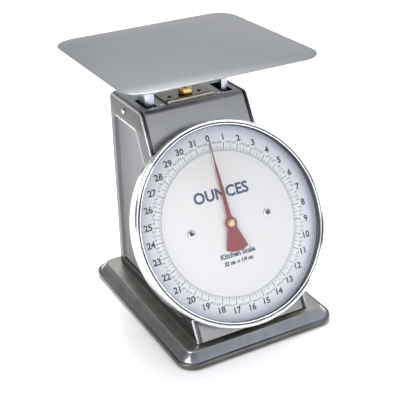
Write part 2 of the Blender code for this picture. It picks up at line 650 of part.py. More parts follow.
def make_pointer():
    shaft = disc("pinion_shaft", 0.0010, -0.0290, 0.0044, BRIGHT, POINTER, steps=16)
    gear = as_mesh(flat_plate("pinion_teeth", [pinion_outline()], -0.0245, -0.0120, BRIGHT, POINTER,
                              group=CUTTERS))
    combine(shaft, gear, "UNION")
    low, high = 0.0026, 0.0034
    hub, blade_base, blade_mid, blade_tip = 0.0060, 0.0027, 0.0012, 0.0002
    right = [(blade_base, 0.0054), (blade_mid, 0.061), (0.0005, 0.066), (blade_tip, 0.0935)]
    left = [(-x, y) for x, y in reversed(right)]
    arc = [(hub * math.cos(a), hub * math.sin(a)) for a in (math.radians(117 + 20 * i) for i in range(7))]
    fan = [(-0.0040, -0.0105), (-0.0124, -0.0274), (-0.0064, -0.0299), (0.0, -0.0308)]
    outline = right + left + arc + fan + [(-x, y) for x, y in reversed(fan[:-1])]
    outline += [(-x, y) for x, y in reversed(arc)]
    flat_plate("pointer", [outline, circle_points(0.0013, 12)], low, high, RED, POINTER)
    cap = ((0, 0.0059), (0.0024, 0.0058), (0.0032, 0.0052), (0.0032, high + GAP), (0.0013, high + GAP),
           (0.0013, 0.0047), (0, 0.0047))
    turned("pointer_screw", cap, BRASS, POINTER, steps=16)


def make_rack():
    """The rack lies along the dial's face on the right of the pinion, and its arm is level."""
    pitch = math.pi * GEAR_MODULE
    tip, root = PITCH_RADIUS - 0.8 * GEAR_MODULE, PITCH_RADIUS + 1.1 * GEAR_MODULE
    teeth = 16
    back, first = 0.0046, -3.5
    outline = []
    for tooth in range(teeth):
        middle = (first + 1 + tooth) * pitch
        for x, offset in ((root, -0.30), (tip, -0.11), (tip, 0.11), (root, 0.30)):
            outline.append((x, middle + offset * pitch))
    low, high = outline[0][1] - 0.001, outline[-1][1] + 0.001
    outline = [(root, low)] + outline + [(root, high), (back, high), (back, low)]
    flat_plate("rack", [outline], -0.0165, -0.0140, BRASS, RACK)
    block("rack_arm", (0.0026, -0.0460, CARRIAGE_BOTTOM), (0.0056, SPRING_Y - 0.006 - GAP,
          CARRIAGE_BOTTOM + 0.006), BRIGHT, CARRIAGE)


# ---- build --------------------------------------------------------------------------------
clear_scene()
PARTS = new_collection("dial_platform_scale")
CUTTERS = new_collection("cutters")
CARRIAGE = frame_empty("carriage_axis", (0, 0, 0))
DIAL = frame_empty("dial_frame", DIAL_CENTRE, (math.radians(90) - TILT, 0, 0))
POINTER = frame_empty("pointer_axis", DIAL_CENTRE, (math.radians(90) - TILT, 0, 0))
RACK = frame_empty("rack_frame", DIAL_CENTRE, (math.radians(90) - TILT, 0, 0))

make_base()
make_side_panel("left", -1)
make_side_panel("right", 1)
make_front_cover()
make_rear_cover()
make_top_pad()
make_zero_adjuster()
make_carriage()
make_links()
make_chassis()
make_springs()
make_dial_head()
make_movement()
make_pointer()
make_rack()
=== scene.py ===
# %% [markdown]
# # A dial platform scale
# This lesson dresses a mechanical kitchen scale: a flat platform over a pressed steel column with a
# round dial on its sloping front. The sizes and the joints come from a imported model, the frame.
# Each step takes one real piece, says how it is made, and builds it at the place the frame gives.

# %% Load the frame
import json
import math

import bmesh
import bpy
from mathutils import Matrix, Vector


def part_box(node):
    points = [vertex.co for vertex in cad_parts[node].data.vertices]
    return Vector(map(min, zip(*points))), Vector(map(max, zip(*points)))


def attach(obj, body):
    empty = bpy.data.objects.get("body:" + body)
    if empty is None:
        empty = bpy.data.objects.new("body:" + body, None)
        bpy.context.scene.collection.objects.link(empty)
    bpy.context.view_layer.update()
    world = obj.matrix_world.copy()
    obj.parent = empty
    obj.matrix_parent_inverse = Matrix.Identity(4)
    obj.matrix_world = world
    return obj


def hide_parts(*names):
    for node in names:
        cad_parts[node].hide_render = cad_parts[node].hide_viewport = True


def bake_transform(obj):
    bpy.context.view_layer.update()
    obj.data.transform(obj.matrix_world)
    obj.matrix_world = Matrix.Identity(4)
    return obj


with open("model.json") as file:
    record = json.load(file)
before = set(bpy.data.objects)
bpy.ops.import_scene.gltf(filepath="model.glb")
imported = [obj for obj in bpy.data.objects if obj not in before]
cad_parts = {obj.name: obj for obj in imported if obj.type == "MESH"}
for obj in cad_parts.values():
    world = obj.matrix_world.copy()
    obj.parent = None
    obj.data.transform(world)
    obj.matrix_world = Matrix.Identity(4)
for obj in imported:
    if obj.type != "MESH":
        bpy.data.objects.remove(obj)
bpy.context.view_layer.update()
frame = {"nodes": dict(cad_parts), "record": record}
NODES = frame["nodes"]
MM = 0.001

# %% [markdown]
# ## Where things are
# A joint says where the dial is and how it leans: the pointer turns about an axis that goes into the
# dial. From that axis comes a matrix for everything on the dial, with Z out of it and Y up its face.
# The column leans at the same angle, so its front slope uses the same tangent.

# %% Read places from the frame
JOINTS = {joint["name"]: joint for joint in frame["record"]["behaviour"]["joints"]}
DIAL_CENTRE = Vector(JOINTS["pointer_turn"]["pos_m"])
DIAL_OUT = -Vector(JOINTS["pointer_turn"]["axis"]).normalized()
DIAL_UP = DIAL_OUT.cross(Vector((1, 0, 0))).normalized()
DIAL_ROWS = [(across, up, out, 0) for across, up, out in zip((1, 0, 0), DIAL_UP, DIAL_OUT)]
DIAL = Matrix.Translation(DIAL_CENTRE) @ Matrix(DIAL_ROWS + [(0, 0, 0, 1)])
TAN_TILT = DIAL_OUT.z / -DIAL_OUT.y


def box_of(node):
    """The lowest and highest corners of a frame node."""
    low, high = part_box(node)
    return Vector(low), Vector(high)


def middle_of(node):
    low, high = box_of(node)
    return (low + high) / 2


panel_low, panel_high = box_of("side_panel_right")
COLUMN_BOTTOM, COLUMN_TOP = panel_low.z, panel_high.z
COLUMN_REAR = panel_high.y
COLUMN_FRONT_BOTTOM = panel_low.y
HALF_BOTTOM = panel_high.x
HALF_TOP = 64.5 * MM        # half the width of the column at its top, which no single node gives
print("dial centre", DIAL_CENTRE[:], "lean", round(math.degrees(math.atan(TAN_TILT)), 2), "degrees")

# %% [markdown]
# ## Colours
# Colours are written as sRGB hex, as a paint or steel sample is read on a screen. The renderer
# counts in linear light, so one function turns the hex into linear numbers.


# %% Hex to linear colour
def linear(hex_colour):
    """An sRGB hex such as 9A9CA0 as a linear RGBA colour."""
    channels = [int(hex_colour[i:i + 2], 16) / 255 for i in (0, 2, 4)]
    return tuple(c / 12.92 if c <= 0.04045 else ((c + 0.055) / 1.055) ** 2.4 for c in channels) + (1.0,)


print("mid grey in linear light:", linear("808080")[0])

# %% [markdown]
# ## One helper for every shader node
# A material is a small network of nodes. This function adds one node, sets its values and joins its
# inputs. Settings are socket names or numbers, or the node's own properties.


# %% Node helper
def node(material, kind, settings=(), links=()):
    """Adds one shader node to the material, with its settings and the outputs it reads."""
    tree = material.node_tree
    new = tree.nodes.new(kind)
    for name, value in dict(settings).items():
        if isinstance(name, int) or name in new.inputs:
            new.inputs[name].default_value = value
        else:
            setattr(new, name, value)
    for name, output in dict(links).items():
        tree.links.new(output, new.inputs[name])
    return new


def new_material(name, colour, metallic, roughness, **settings):
    """A Principled material; a setting's name is its socket with _ for each space."""
    material = bpy.data.materials.new(name)
    material.use_nodes = True
    shader = material.node_tree.nodes["Principled BSDF"]
    shader.inputs["Base Color"].default_value = linear(colour)
    shader.inputs["Metallic"].default_value = metallic
    shader.inputs["Roughness"].default_value = roughness
    for name, value in settings.items():
        shader.inputs[name.replace("_", " ")].default_value = value
    return material, shader


def per_metre(size_mm):
    """The scale of a pattern whose features are this many millimetres apart."""
    return 1 / (size_mm * MM)


def ramp_colours(material, factor, low_hex, high_hex, low=0.3, high=0.7):
    """A colour that runs from one hex to another as factor goes from low to high."""
    ramp = node(material, "ShaderNodeValToRGB", links={"Fac": factor})
    ramp.color_ramp.elements[0].position = low
    ramp.color_ramp.elements[0].color = linear(low_hex)
    ramp.color_ramp.elements[1].position = high
    ramp.color_ramp.elements[1].color = linear(high_hex)
    return ramp.outputs["Color"]


# %% [markdown]
# ## Brushed stainless steel
# The platform and the casing are 304 stainless sheet with a brushed finish: an abrasive belt leaves
# long fine scratches in one direction. The eye sees soft streaks, a blurred reflection and a faint
# mottle from handling. Stretched noise makes the streaks: long along the grain, short across it.
# Real scratches are about 0.1 mm apart, too fine to show, so they are drawn about 0.8 mm apart.
# A darker brown-grey tone can be painted at one end of a sheet: painted shade and painted reflection
# of the dark parts close to it.


# %% Brushed steel material
# The colour of the painted shade laid on brushed steel.
PAINTED_SHADE_COLOUR = "403E3B"


def brushed_steel(name, dark, light, roughness,
                  grain=(60, 0.8, 0.8), mottle_mm=70, bump_mm=0.006, painted_shade=None):
    """Brushed sheet; grain is a streak's length on X, Y and Z in mm. The last argument lays a painted shade:
    the height where its darker tone begins, the height where it is full, and how full it is."""
    material, shader = new_material(name, light, 1.0, roughness)
    place = node(material, "ShaderNodeTexCoord").outputs["Object"]
    stretched = node(material, "ShaderNodeMapping", {"Scale": [per_metre(size) for size in grain]},
                     {"Vector": place})
    streaks = node(material, "ShaderNodeTexNoise", {"Scale": 1.0, "Detail": 3.0, "Roughness": 0.6},
                   {"Vector": stretched.outputs["Vector"]})
    mottle = node(material, "ShaderNodeTexNoise", {"Scale": per_metre(mottle_mm), "Detail": 2.0},
                  {"Vector": place})
    handling = node(material, "ShaderNodeMath", {"operation": "MULTIPLY", 1: 0.55},
                    {0: mottle.outputs["Fac"]})
    blend = node(material, "ShaderNodeMath", {"operation": "MULTIPLY_ADD", 1: 0.45},
                 {0: streaks.outputs["Fac"], 2: handling.outputs["Value"]})
    colour = ramp_colours(material, blend.outputs["Value"], dark, light)
    # Painted shade: a darker tone mixed in by height.
    if painted_shade:
        height = node(material, "ShaderNodeSeparateXYZ", links={"Vector": place})
        reach = node(material, "ShaderNodeMapRange", dict(zip(("From Min", "From Max", "To Max"), painted_shade)),
                     {"Value": height.outputs["Z"]})
        tint = node(material, "ShaderNodeMix", {"data_type": "RGBA"},
                    {0: reach.outputs["Result"], 6: colour})
        tint.inputs[7].default_value = linear(PAINTED_SHADE_COLOUR)
        colour = tint.outputs[2]
    material.node_tree.links.new(colour, shader.inputs["Base Color"])
    shine = node(material, "ShaderNodeMapRange", {"To Min": roughness * 0.95, "To Max": roughness * 1.08},
                 {"Value": streaks.outputs["Fac"]})
    material.node_tree.links.new(shine.outputs["Result"], shader.inputs["Roughness"])
    bump = node(material, "ShaderNodeBump", {"Strength": 0.5, "Distance": bump_mm * MM},
                {"Height": streaks.outputs["Fac"]})
    material.node_tree.links.new(bump.outputs["Normal"], shader.inputs["Normal"])
    return material


PLATFORM_STEEL = brushed_steel("brushed_304_steel_platform", "8C8D8E", "929394", 0.28, bump_mm=0.001)
# The front sheet is painted darker towards its foot: painted reflection of the shaded base below it.
FRONT_STEEL = brushed_steel("brushed_304_steel_front", "8E8F91", "9A9B9E", 0.34,
                            painted_shade=(75 * MM, 42 * MM, 0.45))
# The sides are painted darker along their top: painted reflection of the platform's shaded underside.
SIDE_STEEL = brushed_steel("brushed_304_steel_side", "525355", "626365", 0.24, grain=(0.8, 1.0, 60),
                           painted_shade=(213 * MM, 218 * MM, 0.85))
print("brushed steels:", PLATFORM_STEEL.name, FRONT_STEEL.name, SIDE_STEEL.name)

# %% [markdown]
# ## Pressed base steel
# The base is drawn in a press and only lightly polished after, so it is smoother and looks darker:
# it mirrors the dark underside of the column. Broad soft waves from the die replace the fine grain.
# The same recipe gives a painted highlight on the bends, painted shade on the rim of the base and on
# its rougher flat field, and the plated and oiled small parts.


# %% Pressed steel material
def pressed_steel(name, dark, light, roughness, wave_mm=18):
    """Pressed or plated steel with soft waves this many millimetres apart."""
    material, shader = new_material(name, light, 1.0, roughness)
    place = node(material, "ShaderNodeTexCoord").outputs["Object"]
    waves = node(material, "ShaderNodeTexNoise", {"Scale": per_metre(wave_mm), "Detail": 3.0},
                 {"Vector": place})
    material.node_tree.links.new(ramp_colours(material, waves.outputs["Fac"], dark, light),
                                 shader.inputs["Base Color"])
    shine = node(material, "ShaderNodeMapRange", {"To Min": roughness - 0.04, "To Max": roughness + 0.06},
                 {"Value": waves.outputs["Fac"]})
    material.node_tree.links.new(shine.outputs["Result"], shader.inputs["Roughness"])
    bump = node(material, "ShaderNodeBump", {"Strength": 0.12, "Distance": 0.02 * MM},
                {"Height": waves.outputs["Fac"]})
    material.node_tree.links.new(bump.outputs["Normal"], shader.inputs["Normal"])
    return material


# A bright copy of the steel: a painted highlight for the rolled edges and lit bends.
HIGHLIGHT_STEEL = pressed_steel("painted_highlight_bend_steel", "C4C4C6", "D8D8DA", 0.22, wave_mm=20)
BASE_STEEL = pressed_steel("pressed_304_steel_base", "A2A5AC", "AEB1B8", 0.17)
# A darker, browner and rougher copy: painted shade of the column on the base's field.
FIELD_SHADE_STEEL = pressed_steel("painted_shade_field_steel", "93918A", "A19F97", 0.32)
# A darker copy of the steel: painted shade for the rim and skirt of the base.
RIM_SHADE_STEEL = pressed_steel("painted_shade_rim_steel", "5F5F5E", "6D6D6B", 0.32)
PAD_STEEL = pressed_steel("pressed_steel_top_plate", "77726A", "8C867C", 0.24, wave_mm=9)
ZINC = pressed_steel("zinc_plated_steel", "B4BAC4", "CDD3DC", 0.28, wave_mm=6)
DARK_STEEL = pressed_steel("oiled_spring_steel", "3E3D3B", "55534F", 0.34, wave_mm=5)
CAN_STEEL = pressed_steel("bright_drawn_steel_can", "9C9EA3", "B5B7BC", 0.28, wave_mm=14)
print("pressed steels:", BASE_STEEL.name, PAD_STEEL.name, ZINC.name, DARK_STEEL.name)

# %% [markdown]
# ## Chrome, brass, rubber, enamel and paint
# Chrome plate mirrors the room with almost no blur. Brass is turned, so rings of tool marks run
# round it. Rubber is matt and slightly mottled. The dial is white enamel with a cool grey painted
# towards its rim as painted shade of the bezel, and the pointer is sprayed with a dull red lacquer.


# %% Chrome and brass
def plated(name, dark, light, roughness, wave_mm):
    """A bright plated or turned metal with a faint ripple."""
    material, shader = new_material(name, light, 1.0, roughness)
    place = node(material, "ShaderNodeTexCoord").outputs["Object"]
    ripple = node(material, "ShaderNodeTexNoise", {"Scale": per_metre(wave_mm), "Detail": 1.0},
                  {"Vector": place})
    material.node_tree.links.new(ramp_colours(material, ripple.outputs["Fac"], dark, light),
                                 shader.inputs["Base Color"])
    shine = node(material, "ShaderNodeMapRange", {"To Min": roughness * 0.8, "To Max": roughness * 1.3},
                 {"Value": ripple.outputs["Fac"]})
    material.node_tree.links.new(shine.outputs["Result"], shader.inputs["Roughness"])
    return material


CHROME = plated("chrome_plate", "D6D7D9", "EAEAEB", 0.12, 25)
BRASS = plated("turned_brass", "C9A560", "E2C88A", 0.24, 4)
PALE_BRASS = plated("pale_brass_screw", "C9B183", "DCCBA2", 0.30, 3)


# %% Rubber, enamel, lacquer, ink and lens
def matt(name, dark, light, roughness, grit_mm, bump_mm=0.02, **settings):
    """A non-metal with a fine grit in colour and height."""
    material, shader = new_material(name, light, 0.0, roughness, **settings)
    place = node(material, "ShaderNodeTexCoord").outputs["Object"]
    grit = node(material, "ShaderNodeTexNoise", {"Scale": per_metre(grit_mm), "Detail": 4.0},
                {"Vector": place})
    material.node_tree.links.new(ramp_colours(material, grit.outputs["Fac"], dark, light),
                                 shader.inputs["Base Color"])
    bump = node(material, "ShaderNodeBump", {"Strength": 0.3, "Distance": bump_mm * MM},
                {"Height": grit.outputs["Fac"]})
    material.node_tree.links.new(bump.outputs["Normal"], shader.inputs["Normal"])
    return material


RUBBER = matt("black_rubber", "161616", "222222", 0.75, 1.5, IOR=1.52)
RED_LACQUER = matt("dull_red_lacquer", "7D1E26", "8A272F", 0.6, 2.0, bump_mm=0.005, IOR=1.45)
DARK_LACQUER = matt("dark_red_lacquer", "4A171D", "5A1E25", 0.6, 2.0, bump_mm=0.005, IOR=1.45)
BLACK_INK = matt("black_printing_ink", "0E0F12", "17181C", 0.6, 1.0, bump_mm=0.001, IOR=1.5)
GREY_INK = matt("grey_printing_ink", "4C5059", "5C606A", 0.6, 1.0, bump_mm=0.001, IOR=1.5)
NAVY_INK = matt("navy_printing_ink", "142B57", "1B3460", 0.55, 1.0, bump_mm=0.001, IOR=1.5)


# The grey that the enamel reaches here is painted shade of the bezel.
RIM_SHADE_R = 104 * MM         # the radius at which the enamel reaches its last grey


def dial_enamel():
    """White enamel with a cool grey painted on its outer ring as painted shade of the bezel; the radius is
    measured in the dial's own frame.
    """
    material, shader = new_material("white_dial_enamel_with_painted_rim_shade", "FAFAFB", 0.0, 0.38, IOR=1.5)
    place = node(material, "ShaderNodeTexCoord").outputs["Object"]
    length = node(material, "ShaderNodeVectorMath", {"operation": "LENGTH"}, {0: place})
    radius = node(material, "ShaderNodeMath", {"operation": "DIVIDE", 1: RIM_SHADE_R},
                  {0: length.outputs["Value"]})
    ramp = node(material, "ShaderNodeValToRGB", links={"Fac": radius.outputs["Value"]})
    # The greys towards the rim are painted shade.
    stops = ((0.72, "D6D6D6"), (0.84, "DADCE0"), (0.93, "CDD1DB"), (0.99, "B4BBCB"))
    while len(ramp.color_ramp.elements) < len(stops):
        ramp.color_ramp.elements.new(0.5)
    for element, (position, colour) in zip(ramp.color_ramp.elements, stops):
        element.position = position
        element.color = linear(colour)
    material.node_tree.links.new(ramp.outputs["Color"], shader.inputs["Base Color"])
    speck = node(material, "ShaderNodeTexNoise", {"Scale": per_metre(1.2)}, {"Vector": place})
    bump = node(material, "ShaderNodeBump", {"Strength": 0.1, "Distance": 0.01 * MM},
                {"Height": speck.outputs["Fac"]})
    material.node_tree.links.new(bump.outputs["Normal"], shader.inputs["Normal"])
    return material


ENAMEL = dial_enamel()


def clear_lens():
    """A clear moulded lens: almost all light passes, and faint dust is left in its gloss."""
    material, shader = new_material("clear_polycarbonate_lens", "F4F7FA", 0.0, 0.06, IOR=1.58, Alpha=0.035)
    place = node(material, "ShaderNodeTexCoord").outputs["Object"]
    dust = node(material, "ShaderNodeTexNoise", {"Scale": per_metre(30)}, {"Vector": place})
    shine = node(material, "ShaderNodeMapRange", {"To Min": 0.04, "To Max": 0.10},
                 {"Value": dust.outputs["Fac"]})
    material.node_tree.links.new(shine.outputs["Result"], shader.inputs["Roughness"])
    return material


LENS = clear_lens()
print("finishes:", len(bpy.data.materials))

# %% [markdown]
# ## Mesh helpers
# Three ways of making a shape cover almost every piece: turning a profile on an axis, lofting a
# sheet through outlines, and cutting a flat plate. Each helper returns a mesh, and one function puts
# a mesh in the scene, gives it its finish and lets it ride on its body.


# %% Place a piece
def piece(name, mesh, material, body, stands_for=(), place=None):
    """Puts a mesh in the scene as a piece that rides on body and stands for the named nodes."""
    thing = bpy.data.objects.new(name, mesh)
    bpy.context.scene.collection.objects.link(thing)
    if place is not None:
        thing.matrix_world = place
    mesh.materials.clear()
    mesh.materials.append(material)
    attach(thing, body)
    if stands_for:
        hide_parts(*stands_for)
    print(name, len(mesh.polygons), "faces on", body)
    return thing


def smooth(mesh, angle=32):
    """Shades round surfaces smooth and leaves edges sharper than angle crisp."""
    mesh.shade_smooth()
    mesh.set_sharp_from_angle(angle=math.radians(angle))
    return mesh


# %% Turned shapes
def turned(name, profile, steps, closed=False):
    """Turns (radius, height) points about Z in this many steps; closed joins the last to the first."""
    bm = bmesh.new()
    turn = 2 * math.pi / steps
    rows = [[bm.verts.new((r * math.cos(i * turn), r * math.sin(i * turn), z)) for r, z in profile]
            for i in range(steps)]
    spans = len(profile) if closed else len(profile) - 1
    for i in range(steps):
        here, after = rows[i], rows[(i + 1) % steps]
        for k in range(spans):
            j = (k + 1) % len(profile)
            bm.faces.new((here[k], here[j], after[j], after[k]))
    bmesh.ops.remove_doubles(bm, verts=bm.verts, dist=0.001 * MM)
    bmesh.ops.recalc_face_normals(bm, faces=bm.faces)
    mesh = bpy.data.meshes.new(name)
    bm.to_mesh(mesh)
    bm.free()
    return smooth(mesh)


def arc(centre, radius, start, end, steps):
    """Points on an arc in degrees, from start to end."""
    angles = [math.radians(start + (end - start) * i / steps) for i in range(steps + 1)]
    return [(centre[0] + radius * math.cos(a), centre[1] + radius * math.sin(a)) for a in angles]


# %% Outlines
def fillet(corners, radii, segments=8):
    """A closed outline whose corners are replaced by arcs of the given radii."""
    outline = []
    for i, corner in enumerate(corners):
        here = Vector(corner)
        back = (Vector(corners[i - 1]) - here).normalized()
        ahead = (Vector(corners[(i + 1) % len(corners)]) - here).normalized()
        half = back.angle(ahead) / 2
        centre = here + (back + ahead).normalized() * radii[i] / math.sin(half)
        start = here + back * radii[i] / math.tan(half) - centre
        end = here + ahead * radii[i] / math.tan(half) - centre
        sweep = start.angle_signed(end) if radii[i] else 0.0
        for step in range(segments + 1):
            turn = Matrix.Rotation(-sweep * step / segments, 2)
            outline.append(tuple(centre + turn @ start) if radii[i] else tuple(here))
    return outline


def inset(corners, distances):
    """Moves each edge i (corner i to i + 1) of a counter-clockwise outline inwards."""
    lines = []
    for i, corner in enumerate(corners):
        here, after = Vector(corner), Vector(corners[(i + 1) % len(corners)])
        along = (after - here).normalized()
        lines.append((here + Vector((-along.y, along.x)) * distances[i], along))
    moved = []
    for i in range(len(corners)):
        (p, u), (q, w) = lines[i - 1], lines[i]
        reach = ((q.x - p.x) * w.y - (q.y - p.y) * w.x) / (u.x * w.y - u.y * w.x)
        moved.append(tuple(p + u * reach))
    return moved


def rectangle(x_low, x_high, y_low, y_high):
    return [(x_low, y_low), (x_high, y_low), (x_high, y_high), (x_low, y_high)]


def circle(radius, count, centre=(0.0, 0.0)):
    last = 360 * (count - 1) / count
    return [(centre[0] + x, centre[1] + y) for x, y in arc((0, 0), radius, 0, last, count - 1)]


# %% Plates and sheets
def plate(name, outlines, low, high, rounding=0.0):
    """A plate between two heights: the first outline is its edge, the others are holes."""
    curve = bpy.data.curves.new(name, "CURVE")
    curve.dimensions = "2D"
    curve.fill_mode = "BOTH"
    curve.extrude = (high - low) / 2 - rounding
    curve.bevel_depth = rounding
    curve.bevel_resolution = 2
    curve.offset = -rounding
    for outline in outlines:
        spline = curve.splines.new("POLY")
        spline.points.add(len(outline) - 1)
        for point, (x, y) in zip(spline.points, outline):
            point.co = (x, y, 0, 1)
        spline.use_cyclic_u = True
    return curve_mesh(name, curve, Matrix.Translation((0, 0, (low + high) / 2)))


def curve_mesh(name, curve, place=Matrix.Identity(4)):
    """The welded mesh of a curve or text, moved to place; the curve isn't kept."""
    holder = bpy.data.objects.new(name, curve)
    bpy.context.scene.collection.objects.link(holder)
    bpy.context.view_layer.update()
    mesh = bpy.data.meshes.new_from_object(holder.evaluated_get(bpy.context.evaluated_depsgraph_get()))
    bpy.data.objects.remove(holder, do_unlink=True)
    bm = bmesh.new()
    bm.from_mesh(mesh)
    bmesh.ops.remove_doubles(bm, verts=bm.verts, dist=0.0005 * MM)
    bmesh.ops.transform(bm, matrix=place, verts=bm.verts)
    bm.to_mesh(mesh)
    bm.free()
    mesh.name = name
    return smooth(mesh)


def lofted(name, loops):
    """An open sheet through loops of equal length, closed over the last loop."""
    bm = bmesh.new()
    rows = [[bm.verts.new(point) for point in loop] for loop in loops]
    count = len(rows[0])
    for lower, upper in zip(rows, rows[1:]):
        for i in range(count):
            j = (i + 1) % count
            bm.faces.new((lower[i], lower[j], upper[j], upper[i]))
    bm.faces.new(rows[-1])
    bmesh.ops.recalc_face_normals(bm, faces=bm.faces)
    mesh = bpy.data.meshes.new(name)
    bm.to_mesh(mesh)
    bm.free()
    return smooth(mesh, 40)


def thicken(thing, thickness, rim=0.0):
    """Gives a sheet its thickness inwards, and can round its free edge."""
    solid = thing.modifiers.new("sheet thickness", "SOLIDIFY")
    solid.thickness = thickness
    solid.offset = -1
    solid.use_even_offset = True
    if rim:
        round_edges(thing, rim)


def round_edges(thing, width, segments=2, angle=40):
    bevel = thing.modifiers.new("rounded edges", "BEVEL")
    bevel.width = width
    bevel.segments = segments
    bevel.limit_method = "ANGLE"
    bevel.angle_limit = math.radians(angle)
    bevel.harden_normals = True


print("helpers ready")

# %% [markdown]
# ## The platform
# A single flat sheet with wide rounded corners. Its edge is broken with a file, which is what
# catches the light, so the plate is cut from an outline and given a rounded edge.

# %% Platform
PLATFORM_CORNER, PLATFORM_EDGE = 26 * MM, 0.45 * MM
low, high = box_of("platform")
corners = fillet(rectangle(low.x, high.x, low.y, high.y), [PLATFORM_CORNER] * 4, 24)
piece("platform_sheet", plate("platform_sheet", [corners], low.z, high.z, PLATFORM_EDGE),
      PLATFORM_STEEL, "carriage", ["platform"])

# %% [markdown]
# ## The base
# The base is one sheet drawn over a die: a short skirt, a rounded rim with a narrow ledge, a sloping
# shoulder and the flat field that the column stands on. Its section is a line of points, each an
# inset and a height, and the sheet is lofted through the same rounded outline at each of them. The
# rim and the field are painted darker than the polished shoulder, as painted shade; the field is
# also rougher.

# %% Base
base_low, base_high = box_of("base_pan")
base_corners = rectangle(base_low.x, base_high.x, base_low.y, base_high.y)
skirt, plateau = base_low.z, base_high.z
BASE_CORNER, TIGHTEST_CORNER, RIM_ROUND = 21 * MM, 2 * MM, 2.0 * MM
RIM_TOP, FIELD_EDGE = 8.1 * MM, 16.1 * MM
rim_arc = [(RIM_ROUND - x, z) for x, z in arc((0, 5.7 * MM), RIM_ROUND, 0, 90, 6)]
shoulder = [(3.0 * MM, 7.7 * MM), (3.6 * MM, 7.9 * MM), (4.3 * MM, 8.4 * MM), (10.4 * MM, 15.2 * MM),
            (11.1 * MM, 16.0 * MM), (12.0 * MM, 16.4 * MM), (13.0 * MM, plateau), (40 * MM, plateau)]
section = [(1.5 * MM, skirt), (0.6 * MM, 2.2 * MM), (0.1 * MM, 3.8 * MM)] + rim_arc + shoulder
loops = []
for d, z in section:
    corner = max(BASE_CORNER - d, TIGHTEST_CORNER)
    loops.append([(x, y, z) for x, y in fillet(inset(base_corners, [d] * 4), [corner] * 4, 12)])
base = piece("pressed_base", lofted("pressed_base", loops), BASE_STEEL, "housing", ["base_pan"])
# Painted shade: the rim and the field get darker copies of the steel.
for finish in (RIM_SHADE_STEEL, FIELD_SHADE_STEEL):
    base.data.materials.append(finish)
for face in base.data.polygons:
    face.material_index = 1 if face.center.z < RIM_TOP else 2 if face.center.z > FIELD_EDGE else 0
thicken(base, 1.2 * MM, 0.3 * MM)

# %% [markdown]
# ## The casing
# Two pressed side panels carry a rolled edge all round and a shallow embossed field that stiffens
# them. One more sheet is bent over the top front edge between them. The column is a little wider at
# the foot, so every casing mesh is made straight and then flared.


# %% Flare and panel outline
def half_at(height):
    """Half the width of the column at a height."""
    fall = (COLUMN_TOP - height) / (COLUMN_TOP - COLUMN_BOTTOM)
    return HALF_TOP + (HALF_BOTTOM - HALF_TOP) * fall


def flare(mesh):
    """Widens a mesh made at the top's width so that it follows the column."""
    for vertex in mesh.vertices:
        vertex.co.x *= half_at(vertex.co.z) / HALF_TOP
    return mesh


COLUMN_FRONT_TOP = COLUMN_FRONT_BOTTOM + (COLUMN_TOP - COLUMN_BOTTOM) * TAN_TILT
PANEL = [(COLUMN_FRONT_BOTTOM, COLUMN_BOTTOM), (COLUMN_REAR, COLUMN_BOTTOM), (COLUMN_REAR, COLUMN_TOP),
         (COLUMN_FRONT_TOP, COLUMN_TOP)]
ROLL = 1.6 * MM
FLANGE = 4.2 * MM
SHEET = 1.0 * MM
print("column top", COLUMN_TOP, "half widths", HALF_TOP, HALF_BOTTOM)


# %% Side panels
CORNER_RADII = (1.0 * MM, 5.0 * MM, 6.0 * MM, 7.0 * MM)
FIELD_BORDERS = (11.5 * MM, 10.0 * MM, 23.0 * MM, 22.9 * MM)
FIELD_CORNER_MM = 6.0
FIELD_STEPS_MM = ((-0.9, 0.0), (0.0, 0.0), (0.5, 0.12), (1.1, 0.6), (2.2, 1.75), (2.9, 2.35), (3.5, 2.5))
LIT_MARGIN = 16 * MM


def side_panel(side, sign):
    """One pressed side: flange, rolled edge, flat border, and a field sunk 2.5 mm. A painted highlight is
    put on the rolled edge and on the bends of the field along the front and the top, where light falls."""
    rows = [(0, FLANGE)] + [(ROLL - x, ROLL - z) for x, z in arc((0, 0), ROLL, 0, 90, 7)]
    loops = []
    for d, depth in rows:
        outline = fillet(inset(PANEL, [d] * 4), [max(r - d, 0.4 * MM) for r in CORNER_RADII])
        loops.append([(sign * (HALF_TOP - depth), y, z) for y, z in outline])
    edge_rings = len(loops) - 1
    for d, depth in FIELD_STEPS_MM:
        outline = fillet(inset(PANEL, [edge + d * MM for edge in FIELD_BORDERS]),
                         [(FIELD_CORNER_MM - d) * MM] * 4)
        loops.append([(sign * (HALF_TOP - depth * MM), y, z) for y, z in outline])
    mesh = flare(lofted(f"pressed_side_{side}", loops))
    panel = piece(f"pressed_side_{side}", mesh, SIDE_STEEL, "housing", [f"side_panel_{side}"])
    # Painted highlight on the rolled edge and on the lit bends of the field.
    mesh.materials.append(HIGHLIGHT_STEEL)
    for face in mesh.polygons:
        ring = face.index // len(loops[0])
        lit_bend = (face.center.y < COLUMN_REAR - LIT_MARGIN
                    and face.center.z > COLUMN_BOTTOM + LIT_MARGIN)
        if 0 < ring < edge_rings or (edge_rings < ring < len(loops) - 1 and lit_bend):
            face.material_index = 1
    thicken(panel, SHEET, 0.25 * MM)


for side, sign in (("left", -1), ("right", 1)):
    side_panel(side, sign)

# %% [markdown]
# ## The front and top sheet
# It is one bend between two flats, and its side edges are rolled down in a narrow strip with a
# painted highlight. It needs two slots for the uprights, a hole for the zero screw and one behind the
# dial. Slots in real sheet metal are punched with rounded corners, so the cutters are rounded too.


# %% Front and top sheet
def cut(thing, mesh, place=Matrix.Identity(4)):
    """Cuts a mesh out of a piece; the cutter isn't part of the object and is removed."""
    tool = bpy.data.objects.new("cutter", mesh)
    bpy.context.scene.collection.objects.link(tool)
    tool.matrix_world = place
    boolean = thing.modifiers.new("cut", "BOOLEAN")
    boolean.operation = "DIFFERENCE"
    boolean.solver = "EXACT"
    boolean.object = tool
    bpy.context.view_layer.update()
    result = bpy.data.meshes.new_from_object(thing.evaluated_get(bpy.context.evaluated_depsgraph_get()))
    thing.modifiers.clear()
    thing.data = result
    bpy.data.objects.remove(tool, do_unlink=True)


